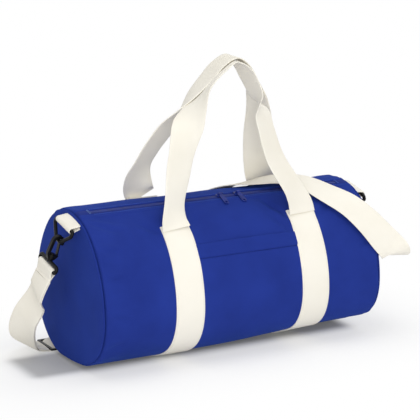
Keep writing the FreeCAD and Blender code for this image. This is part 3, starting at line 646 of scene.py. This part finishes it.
DROOP = math.radians(35)
TILT = math.radians(20)
TAB_REACH = 0.02
BAR = np.array([0.002 + TAB_REACH * math.cos(DROOP), -0.005 - TAB_REACH * math.sin(DROOP)])
BAR_RADIUS = 0.003
HOOK_DROP = 0.027
BASE_TURN = {"left": 0.0, "right": math.pi / 2}
BASE_BAR = -0.0453
LOOP = 0.018

# Webbing doubled round the bars: thickness, half the way between its layers, and play round the bar
EYE_THICK = 0.0019
EYE_HALF = 0.00122
EYE_PLAY = 0.00106
EYE_WRAP = math.radians(105)
TAB_ROOT = (-0.003, -0.0105)
TAB_CROWN = 0.0028


def end_frame(side):
    """Frame on the end seam, in line with the zip."""
    y, z = crown(TOP_RADIUS, ROLL)
    made = Matrix.Translation((SIDES[side] * HALF_LENGTH, y, z)) @ Matrix.Rotation(ROLL, 4, "X")
    return made @ Matrix.Rotation(math.pi, 4, "Z") if side == "left" else made


def ring_frame(side):
    """Frame on the bar of the ring."""
    return end_frame(side) @ Matrix.Translation((BAR[0], 0, BAR[1])) @ Matrix.Rotation(-TILT, 4, "Y")


def hook_frame(side):
    """Frame where the hook hangs in the ring."""
    return ring_frame(side) @ Matrix.Translation((0, 0, -HOOK_DROP))


def base_frame(side):
    """Frame of the swivelling base."""
    return hook_frame(side) @ Matrix.Rotation(BASE_TURN[side], 4, "Z")


def moved(matrix, points):
    """Points taken from a frame to the bag."""
    m = np.array(matrix)
    return np.asarray(points) @ m[:3, :3].T + m[:3, 3]


def turned(matrix, vectors):
    """Directions taken from a frame to the bag."""
    return np.asarray(vectors) @ np.array(matrix)[:3, :3].T


def eye(name, matrix, top, low, centre, crown_rise=0.0):
    """Webbing doubled round a bar: out along one layer, round the bar and back."""
    count = 60
    centre, top, low = (np.asarray(v, float) for v in (centre, top, low))
    heading = centre - (top + low) / 2
    lead = math.atan2(heading[1], heading[0])
    turns = np.linspace(lead + EYE_WRAP, lead - EYE_WRAP, 24)
    radius = BAR_RADIUS + EYE_PLAY
    bend = [centre + radius * np.array([math.cos(t), math.sin(t)]) for t in turns]
    out = [top + (bend[0] - top) * k for k in (0.35, 0.7)]
    back = [low + (bend[-1] - low) * k for k in (0.7, 0.35)]
    flat = np.array([top] + out + bend + back + [low])
    path = through(np.stack([flat[:, 0], 0 * flat[:, 0], flat[:, 1]], axis=-1), count)
    places = moved(matrix, path)
    across = turned(matrix, np.tile([0.0, 1.0, 0.0], (count, 1)))
    thirds = [0, count // 3, 2 * count // 3, count - 1]
    cup = np.interp(np.arange(count), thirds, [crown_rise, 0, 0, -crown_rise])
    obj = ribbon(name, places, across, cup=cup, thick=EYE_THICK)
    return obj


for side in SIDES:
    tab = eye("tab_webbing_" + side, end_frame(side), (TAB_ROOT[0], TAB_ROOT[1] + EYE_HALF),
              (TAB_ROOT[0], TAB_ROOT[1] - EYE_HALF), BAR, TAB_CROWN)
    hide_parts("ring_tab_" + side)
    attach(tab, "bag")
    loop = eye("loop_webbing_" + side, base_frame(side), (EYE_HALF, BASE_BAR - LOOP),
               (-EYE_HALF, BASE_BAR - LOOP), (0, BASE_BAR))
    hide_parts("strap_loop_" + side)
    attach(loop, side + "_base")


# Shoulder strap: places along its centre and the way its outer face looks, as in the solids

def on_bag(x, y, z, *facing):
    """Place in shares of the bag's half length, half width and height."""
    return (x * HALF_LENGTH, y * HALF_WIDTH, z * HEIGHT, *facing)


STRAP_FLOOR = 0.0013
STRAP_LAYER = 0.00115
LAYER_IN = 0.003
DOWN = (0.0, 0.0, -1.0)
ADJUSTER = (-0.238, 0.096)
LEFT_CURVE = [on_bag(-1.216, 0.120, 0.440, -0.96, -0.26, 0.2),
              on_bag(-1.252, 0.330, 0.285, -0.9, -0.42, -0.05),
              on_bag(-1.230, 0.530, 0.142, -0.75, -0.3, -0.6),
              on_bag(-1.164, 0.672, 0.052, -0.45, 0, -0.9)]
CLIMB = [(-0.19, 0.097, STRAP_FLOOR, *DOWN), (-0.15, 0.103, STRAP_FLOOR, *DOWN),
         on_bag(-0.472, 0.953, 0.036, 0, 0.25, -0.97), on_bag(-0.368, 1.117, 0.112, 0, 0.7, -0.7),
         on_bag(-0.272, 1.195, 0.248, 0, 0.95, -0.3), on_bag(-0.168, 1.18, 0.424, 0, 1, 0),
         on_bag(-0.056, 1.078, 0.6, 0, 0.95, 0.3), on_bag(0.056, 0.883, 0.772, 0, 0.8, 0.6),
         on_bag(0.144, 0.602, 0.902, 0, 0.55, 0.83)]
OVER_TOP = [on_bag(0.224, 0.312, 0.992, 0, 0.3, 0.95), on_bag(0.352, 0.078, 1.030, 0, 0.05, 1),
            on_bag(0.496, -0.078, 1.050, 0, -0.1, 1), on_bag(0.632, -0.242, 1.032, 0, -0.27, 0.97),
            on_bag(0.762, -0.5, 0.958, 0, -0.55, 0.84), on_bag(0.866, -0.68, 0.888, 0, -0.74, 0.67),
            on_bag(0.96, -0.836, 0.786, 0, -0.9, 0.43), on_bag(1.04, -0.945, 0.68, -0.1, -0.95, 0.25),
            on_bag(1.098, -1.012, 0.606, -0.25, -0.95, 0.1)]
TIP_FOLD = [on_bag(1.112, -1.036, 0.578, -0.2, -0.8, -0.55), on_bag(1.126, -0.965, 0.556, 0, 0.1, -1),
            on_bag(1.16, -0.703, 0.54, 0, 0.1, -1), on_bag(1.196, -0.406, 0.508, 0, 0.1, -1),
            on_bag(1.216, -0.156, 0.476, 0, 0.5, -0.85)]
# Way over the bar of the adjuster: x from its middle, and height
OVER_BAR = [(-0.024, STRAP_FLOOR), (-0.014, STRAP_FLOOR), (-0.003, 0.0069), (0.003, 0.0069),
            (0.014, STRAP_FLOOR), (0.024, STRAP_FLOOR)]
# Where the second layer goes into the adjuster: x from its middle, and height
LAYER_END = (-0.0193, 0.0041)
# Lengths beside a clip, from the strap's end, in which it bends at the base, the hook and the ring
BEND_BASE = 0.03
BEND_HOOK = 0.055
BEND_LEFT_RING = 0.112
BEND_RIGHT_RING = 0.13
# Places in x on the floor between which the strap moves with the adjuster
ADJUSTER_BENDS = (-0.303, -0.262, -0.214, -0.1)
# Height below which the strap counts as low, mean height below which a length lies on the floor, and
# y from which it is behind the bag
STRAP_LOW = 0.06
STRAP_BEHIND = 0.06


def strap_end(side, layer):
    """First two stations of a layer of the strap, below its loop."""
    matrix = base_frame(side)
    points = moved(matrix, [(layer * STRAP_LAYER, 0, BASE_BAR - LOOP - k) for k in (0.0003, 0.025)])
    face = turned(matrix, [(1.0, 0.0, 0.0)])[0]
    return [(*p, *face) for p in points]


def strap_curve(stations, count):
    """Line of the strap, kept above the floor, and the direction of its width."""
    curve = through(stations, count)
    places = curve[:, :3]
    places[:, 2] = np.maximum(places[:, 2], STRAP_FLOOR)
    return places, np.cross(curve[:, 3:], np.gradient(places, axis=0))


def cut_strap(name, places, across, cuts):
    """Strap in lengths, each on a body, or left in place where it spans two bodies that a joint joins."""
    run = run_along(places)
    made = []
    first = 0
    for index, (end, bodies) in enumerate(cuts):
        last = len(run) - 1 if end is None else int(np.argmin(np.abs(run - end)))
        keep = slice(first, last + 1)
        obj = ribbon(name + "_%d" % index, places[keep], across[keep], start=run[first])
        if len(bodies) == 1:
            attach(obj, bodies[0])
        else:
            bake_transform(obj)
        made.append(obj)
        first = last
    return made


def run_at(places, x):
    """Length of strap up to where it first passes x on the floor."""
    behind = (places[:, 1] > STRAP_BEHIND) & (places[:, 2] < STRAP_LOW)
    passed = np.where(behind & (places[:, 0] > x))[0]
    return run_along(places)[passed[0]]


def strap():
    """Strap from the left clip, through the adjuster and over the bag to the right clip, and its layer."""
    buckle = [(ADJUSTER[0] + x, ADJUSTER[1], z, *DOWN) for x, z in OVER_BAR]
    stations = strap_end("left", 1) + LEFT_CURVE + buckle + CLIMB + OVER_TOP + TIP_FOLD
    places, across = strap_curve(stations + strap_end("right", 0)[::-1], 460)
    total = np.sum(steps_along(places))
    left_clip = [(BEND_BASE, ("left_base", "left_hook")), (BEND_HOOK, ("left_hook", "left_ring")),
                 (BEND_LEFT_RING, ("left_ring", "bag"))]
    adjuster = zip(ADJUSTER_BENDS, (("bag",), ("bag", "adjuster"), ("adjuster",), ("adjuster", "bag")))
    cuts = left_clip + [(run_at(places, x), bodies) for x, bodies in adjuster]
    cuts += [(total - BEND_RIGHT_RING, ("bag",)), (total - BEND_HOOK, ("bag", "right_ring")),
             (total - BEND_BASE, ("right_ring", "right_hook")), (None, ("right_hook", "right_base"))]
    pieces = cut_strap("strap", places, across, cuts)
    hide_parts("shoulder_strap")
    inward = [(*(np.array(s[:3]) - np.array(s[3:]) / np.linalg.norm(s[3:]) * LAYER_IN), *s[3:])
              for s in LEFT_CURVE]
    edge = ADJUSTER[0] + LAYER_END[0]
    tip = [(x, ADJUSTER[1], LAYER_END[1], *DOWN) for x in (edge - 0.005, edge)]
    places, across = strap_curve(strap_end("left", -1) + inward + tip, 80)
    cuts = left_clip + [(run_at(places, ADJUSTER_BENDS[0]), ("bag",)), (None, ("bag", "adjuster"))]
    layer = cut_strap("strap_layer", places, across, cuts)
    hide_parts("strap_return")


strap()


# Moulded and pressed pieces: the solids with their edges rounded

FINE_EDGE = 0.0003
ADJUSTER_EDGE = 0.0006
HOOK_EDGE = 0.0007
SHARP = math.radians(40)


def rounded(node_name, name, body, mat, width):
    """Copy of a solid with small round edges."""
    mesh = frame["nodes"][node_name].data.copy()
    mesh.name = name
    work = bmesh.new()
    work.from_mesh(mesh)
    bmesh.ops.remove_doubles(work, verts=work.verts, dist=1e-6)
    bmesh.ops.dissolve_limit(work, angle_limit=math.radians(1.0), verts=work.verts, edges=work.edges)
    work.to_mesh(mesh)
    work.free()
    mesh.materials.clear()
    mesh.materials.append(mat)
    obj = add(name, mesh)
    mesh.polygons.foreach_set("use_smooth", [True] * len(mesh.polygons))
    mesh.set_sharp_from_angle(angle=SHARP)
    soft = obj.modifiers.new("edges", "BEVEL")
    soft.width = width
    soft.segments = 3
    soft.limit_method = "ANGLE"
    soft.angle_limit = SHARP
    stand_for(obj, node_name, body)


# Plastic pieces of a clip: node, piece, body and rounding of the edges
CLIP = [("d_ring_", "ring_moulding_", "_ring", FINE_EDGE),
        ("snap_hook_", "hook_moulding_", "_hook", HOOK_EDGE),
        ("hook_gate_", "gate_moulding_", "_gate", FINE_EDGE),
        ("swivel_base_", "base_moulding_", "_base", FINE_EDGE)]
for side in SIDES:
    for node_name, name, body, width in CLIP:
        rounded(node_name + side, name + side, side + body, PLASTIC, width)
    rounded("zip_slider_" + side, "slider_body_" + side, side + "_slider", PAINT, FINE_EDGE)
    rounded("pull_tab_" + side, "pull_plate_" + side, side + "_pull", PAINT, FINE_EDGE)
rounded("strap_slider", "adjuster_moulding", "adjuster", PLASTIC, ADJUSTER_EDGE)


# Zip: tapes, interlocked coils, cloth stops and their stitching

# Tape: inner edge from the zip's middle, reach under the hems, and thickness
TAPE_INNER = 0.0026
TAPE_UNDER = 0.0012
TAPE_THICK = 0.0008
# Teeth: way from one to the next, half their width and height, and their sections as distance from
# the zip's middle, share of the size, and height
TOOTH_PITCH = 0.0016
TOOTH_HALF = 0.00058
TOOTH_RISE = 0.00085
TOOTH = [(0.0036, 0.75, -0.0011), (0.0030, 1.0, -0.0008), (0.0002, 1.0, -0.0007), (-0.0005, 0.6, -0.0008)]
# Stitches: length, gap, half thickness of the thread, and way from the zip's hem to its row
STITCH = 0.0026
STITCH_GAP = 0.0011
STITCH_HALF = 0.00034
HEM_STITCH = 0.0026
# Cloth stops over the zip's ends: overlap with the zip, reach past the slot, end and thickness
STOP_OVER = 0.0015
STOP_PAST = 0.0006
STOP_END = 0.2502
STOP_THICK = 0.0016
TACK_HALF = 0.0085
# Binding tapes inside the end seams: both edges, depth below the cloth and thickness
BINDING = (0.2368, 0.2492)
BINDING_DEEP = 0.0021
BINDING_THICK = 0.0012


def strip(name, xs, ss, top, thick, mat, node_name):
    """Strip of cloth or tape lying on the barrel, its upper face raised by top."""
    X, S = np.meshgrid(xs, ss, indexing="ij")
    height = top(X, S)
    obj = slab(name, shell(X, S, height), shell(X, S, height - thick), np.stack([X, S], axis=-1), mat)
    stand_for(obj, node_name)
    return obj


def coil(name, sign, node_name):
    """One row of teeth, each a rounded bar that reaches past the middle between two of the other row."""
    corners = 6
    xs = np.arange(-ZIP_HALF + 0.001, ZIP_HALF - 0.0015, TOOTH_PITCH) + (TOOTH_PITCH / 2 if sign > 0 else 0)
    turns = np.linspace(0, 2 * math.pi, corners + 1)[:-1]
    ring_x = TOOTH_HALF * np.cos(turns)
    ring_h = TOOTH_RISE * np.sin(turns)
    verts = []
    faces = []
    for x in xs:
        base = len(verts)
        for s, size, height in TOOTH:
            row = shell(x + ring_x * size, np.full(corners, ZIP_S + sign * s), height + ring_h * size)
            verts.extend(row.tolist())
        last = len(verts) - corners
        for k in range(base, last, corners):
            for j in range(corners):
                a = k + j
                b = k + (j + 1) % corners
                faces.append((a, b, b + corners, a + corners))
        faces.append(tuple(range(base, base + corners)))
        faces.append(tuple(range(last + corners - 1, last - 1, -1)))
    obj = make(name, verts, faces, None, COIL)
    fix_normals(obj)
    stand_for(obj, node_name)


def stitches(name, places, normals, mat):
    """Row of thread stitches along a path that lies on the cloth, each a bead with pointed ends."""
    corners = 5
    run = run_along(places)
    starts = np.arange(STITCH_GAP, run[-1] - STITCH, STITCH + STITCH_GAP)
    turns = np.linspace(0, 2 * math.pi, corners + 1)[:-1]

    def at(distance, field):
        """Field at distances along the path."""
        return np.stack([np.interp(distance, run, field[:, k]) for k in range(3)], axis=-1)

    first = at(starts, places)
    last = at(starts + STITCH, places)
    up = unit(at(starts + STITCH / 2, normals))
    aside = unit(np.cross(up, last - first))
    verts = []
    faces = []
    for a, b, n, w in zip(first, last, up, aside):
        near = len(verts) + 1
        far = near + corners
        verts.append(a - n * STITCH_HALF * 0.6)
        for share in (0.22, 0.78):
            middle = a + (b - a) * share + n * STITCH_HALF * 0.35
            verts.extend(middle + STITCH_HALF * (math.cos(t) * w + math.sin(t) * n) for t in turns)
        verts.append(b - n * STITCH_HALF * 0.6)
        for j in range(corners):
            k = (j + 1) % corners
            faces.append((near - 1, near + k, near + j))
            faces.append((near + j, near + k, far + k, far + j))
            faces.append((far + corners, far + j, far + k))
    obj = make(name, verts, faces, None, mat)
    fix_normals(obj)
    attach(obj, "bag")


def seam_row(name, xs, ss, off, mat):
    """Stitches on the barrel along a path of x and s."""
    xs, ss = np.broadcast_arrays(np.asarray(xs, float), np.asarray(ss, float))
    stitches(name, shell(xs, ss, off), shell_normal(ss), mat)


def stop_top(x, s):
    """Height of the cloth stops, which follow the turn of the end seam."""
    return rim(x) + 0.0002 * (1 - ((s - ZIP_S) / 0.0076) ** 2)


LONG = np.linspace(-ZIP_HALF - 0.001, ZIP_HALF + 0.001, 130)
for name, sign in (("front", 1), ("rear", -1)):
    strip("tape_" + name, LONG, ZIP_S + sign * np.linspace(TAPE_INNER, SLOT / 2 + TAPE_UNDER, 6),
          lambda x, s: -TAPE_THICK + 0 * x, TAPE_THICK, TAPE, "zip_tape_" + name)
    coil("coil_" + name, sign, "zip_coil_" + name)
    seam_row("zip_stitching_" + name, LONG * 0.985, ZIP_S + sign * (SLOT / 2 + HEM_STITCH), 0.0006,
             THREAD)
for side, sign in SIDES.items():
    strip("zip_stop_" + side, sign * np.linspace(ZIP_HALF - STOP_OVER, STOP_END, 24),
          ZIP_S + np.linspace(-SLOT / 2 - STOP_PAST, SLOT / 2 + STOP_PAST, 12),
          stop_top, STOP_THICK, HEM, "zip_end_tab_" + side)
    for row in range(3):
        seam_row("zip_tack_%s_%d" % (side, row), sign * (ZIP_HALF + 0.0004 + 0.0011 * row),
                 np.linspace(ZIP_S - TACK_HALF, ZIP_S + TACK_HALF, 12), 0.0007,
                 TACK_THREAD if side == "left" else THREAD)
    strip("binding_tape_" + side, sign * np.linspace(*BINDING, 8), np.linspace(0, ROUND, 161),
          lambda x, s: rim(x) - BINDING_DEEP, BINDING_THICK, TAPE, "seam_binding_" + side)


# Front pocket, with a wide hem along its top

def front_s(z):
    """Place on the front of the outline at a height."""
    ss = np.linspace(0, HALF_ROUND, 800)
    return float(np.interp(-z, -ring(ss)[1], ss))


POCKET_TOP = front_s(0.195)
POCKET_STITCH = front_s(0.1745)
POCKET_LOW = front_s(0.052)
POCKET_THICK = 0.0009
# How far the pocket and its stitching stay from the middle of the belts
POCKET_INSET = 0.022
STITCH_INSET = 0.026


def pocket_height(x, s):
    """Height of the pocket: a doubled hem over a sewn groove, and a mouth that gapes a little."""
    down = s - POCKET_TOP
    hem = 1 - smooth(s, POCKET_STITCH - 0.001, POCKET_STITCH + 0.0012)
    groove = np.exp(-((s - POCKET_STITCH) / 0.0014) ** 2)
    body = 0.0008 * (1 - smooth(s, POCKET_LOW - 0.06, POCKET_LOW))
    gape = 0.0012 * np.exp(-(down / 0.012) ** 2) * np.sin(np.clip((x + 0.08) / 0.18, 0, 1) * math.pi)
    lip = -0.0008 * np.clip(1 - down / 0.0012, 0, 1) ** 2
    return 0.0002 + body + 0.0008 * hem - 0.0013 * groove + gape + lip


ROWS = np.concatenate([POCKET_TOP + np.array([0, 0.0003, 0.0007, 0.0012, 0.002]),
                       np.linspace(POCKET_TOP + 0.003, POCKET_STITCH - 0.003, 14),
                       POCKET_STITCH + np.linspace(-0.0022, 0.0022, 11),
                       np.linspace(POCKET_STITCH + 0.003, POCKET_LOW, 70)])
POCKET = strip("pocket_cloth", np.linspace(BELTS["left"] + POCKET_INSET, BELTS["right"] - POCKET_INSET, 70),
               ROWS, pocket_height, POCKET_THICK, CANVAS, "front_pocket")
# Stitches in the near-black thread: painted shade along the hem's groove
seam_row("pocket_stitching", np.linspace(BELTS["left"] + STITCH_INSET, BELTS["right"] - STITCH_INSET, 60),
         POCKET_STITCH, 0.0002, SHADE_THREAD)


# Stitching along both edges of the belts, except under the bag

AROUND = np.linspace(FRONT_S + 0.004, REAR_S - 0.004 + ROUND, 300)
SEEN = np.abs(np.mod(AROUND, ROUND) - HALF_ROUND) > 0.075
FRONT_ROW = AROUND[:int(np.argmin(SEEN))]
REAR_ROW = AROUND[len(SEEN) - int(np.argmin(SEEN[::-1])):]
BELT_STITCH = 0.0222
for side in SIDES:
    for edge in (-1, 1):
        x = BELTS[side] + edge * BELT_STITCH
        for name, row in (("front", FRONT_ROW), ("rear", REAR_ROW)):
            piece = "belt_stitching_%s_%d_%s" % (side, edge, name)
            seam_row(piece, x, row, WEB_THICK, PALE_THREAD)


# Stage, lights and camera

# Middle and half size of the ground under the bag, round which the floor's colour is darkened as painted
# shadow and its glow fades
SHADE_MIDDLE = (-0.045, 0.01, 0)
SHADE_HALF = (0.275, 0.04, 0)
FLOOR_HALF = 6.0
WHITE = (1, 1, 1, 1)


def seen_ray(tree):
    """1 for what the camera sees, straight on, mirrored or through something clear."""
    path = node(tree, "ShaderNodeLightPath")
    most = maths(tree, "MAXIMUM", path.outputs["Is Camera Ray"], path.outputs["Is Glossy Ray"])
    return maths(tree, "MAXIMUM", most, path.outputs["Is Transmission Ray"])


def step(tree, value, low, high, first, last):
    """Soft step from first to last between two values."""
    return node(tree, "ShaderNodeMapRange", [("Value", value), ("From Min", low), ("From Max", high),
                                             ("To Min", first), ("To Max", last)],
                interpolation_type="SMOOTHSTEP").outputs[0]


def vector(tree, operation, a, b=(0, 0, 0)):
    """Node for a sum of two vectors."""
    return node(tree, "ShaderNodeVectorMath", [(0, a), (1, b)], operation=operation)


def floor():
    """Pale floor that fades to white away from the bag and keeps its shadow, with painted shadow in its
    colour next to the bag.
    """
    h = FLOOR_HALF
    mesh = bpy.data.meshes.new("floor")
    mesh.from_pydata([(-h, -h, 0), (h, -h, 0), (h, h, 0), (-h, h, 0)], [], [(0, 1, 2, 3)])
    obj = add("floor", mesh)
    mat, tree, shader = material("floor")
    shader.inputs["Roughness"].default_value = 0.9
    shader.inputs["Specular IOR Level"].default_value = 0.0
    place = node(tree, "ShaderNodeTexCoord").outputs["Object"]
    place = vector(tree, "SUBTRACT", place, SHADE_MIDDLE).outputs[0]
    out = vector(tree, "SUBTRACT", vector(tree, "ABSOLUTE", place).outputs[0], SHADE_HALF).outputs[0]
    out = vector(tree, "MAXIMUM", out).outputs[0]
    away = vector(tree, "LENGTH", out).outputs["Value"]
    # Painted shadow: the floor's colour darkens from 0.93 to 0.5 within 30 mm of the patch under the bag
    tree.links.new(step(tree, away, 0.0, 0.03, 0.5, 0.93), shader.inputs["Base Color"])
    # White glow seen by the camera: from 0.08 at the patch to 0.55 at 45 mm it is painted light that lifts
    # the shadow beside the bag; further out it makes the floor plain white
    near = step(tree, away, 0.0, 0.045, 0.08, 0.55)
    far = step(tree, away, 0.05, 0.28, 0.0, 0.45)
    glow = node(tree, "ShaderNodeEmission", [("Color", WHITE), ("Strength", 1.0)])
    share = maths(tree, "MULTIPLY", maths(tree, "ADD", near, far), seen_ray(tree))
    mix = node(tree, "ShaderNodeMixShader", [(0, share), (1, shader.outputs[0]), (2, glow.outputs[0])])
    tree.links.new(mix.outputs[0], tree.nodes["Material Output"].inputs["Surface"])
    mesh.materials.append(mat)


def lamp(name, place, target, size, power):
    """Soft rectangular lamp that looks at target."""
    data = bpy.data.lights.new(name, "AREA")
    data.shape = "RECTANGLE"
    data.size, data.size_y = size
    data.energy = power
    obj = add(name, data)
    obj.location = place
    obj.rotation_euler = (Vector(target) - Vector(place)).to_track_quat("-Z", "Y").to_euler()


def world(strength):
    """White surroundings, a little brighter from the upper right, and plain white where they are seen."""
    made = bpy.data.worlds.new("studio")
    bpy.context.scene.world = made
    made.use_nodes = True
    tree = made.node_tree
    back = tree.nodes["Background"]
    back.inputs["Color"].default_value = WHITE
    way = node(tree, "ShaderNodeTexCoord").outputs["Generated"]
    right = vector(tree, "DOT_PRODUCT", way, (0.6, -0.4, 0.5)).outputs["Value"]
    light = maths(tree, "ADD", maths(tree, "MULTIPLY", right, 0.12), strength)
    tree.links.new(light, back.inputs["Strength"])
    seen = node(tree, "ShaderNodeBackground", [("Color", WHITE), ("Strength", 1.0)])
    mix = node(tree, "ShaderNodeMixShader",
               [(0, seen_ray(tree)), (1, back.outputs[0]), (2, seen.outputs[0])])
    tree.links.new(mix.outputs[0], tree.nodes["World Output"].inputs["Surface"])


def camera():
    """Camera at the photograph's viewing angle and distance."""
    sensor = 36
    picture_wide = 420
    focal_pixels = 1781.08
    azimuth = math.radians(-29.25)
    elevation = math.radians(13.07)
    distance = 2.90555
    target = Vector((0.00079, 0, 0.22156))
    data = bpy.data.cameras.new("camera")
    data.sensor_width = sensor
    data.lens = sensor * focal_pixels / picture_wide
    data.clip_end = 100
    obj = add("camera", data)
    level = math.cos(elevation)
    back = Vector((math.sin(azimuth) * level, -math.cos(azimuth) * level, math.sin(elevation)))
    obj.location = target + back * distance
    obj.rotation_euler = (-back).to_track_quat("-Z", "Y").to_euler()
    bpy.context.scene.camera = obj


floor()
world(0.6)
lamp("key", place=(-1.35, -2.55, 0.8), target=(0, 0, 0.3), size=(1.6, 1.0), power=31)
lamp("top", place=(0.3, -0.3, 2.8), target=(0, 0, 0.1), size=(2.6, 2.6), power=30)
camera()
bpy.context.scene.view_settings.view_transform = "Standard"
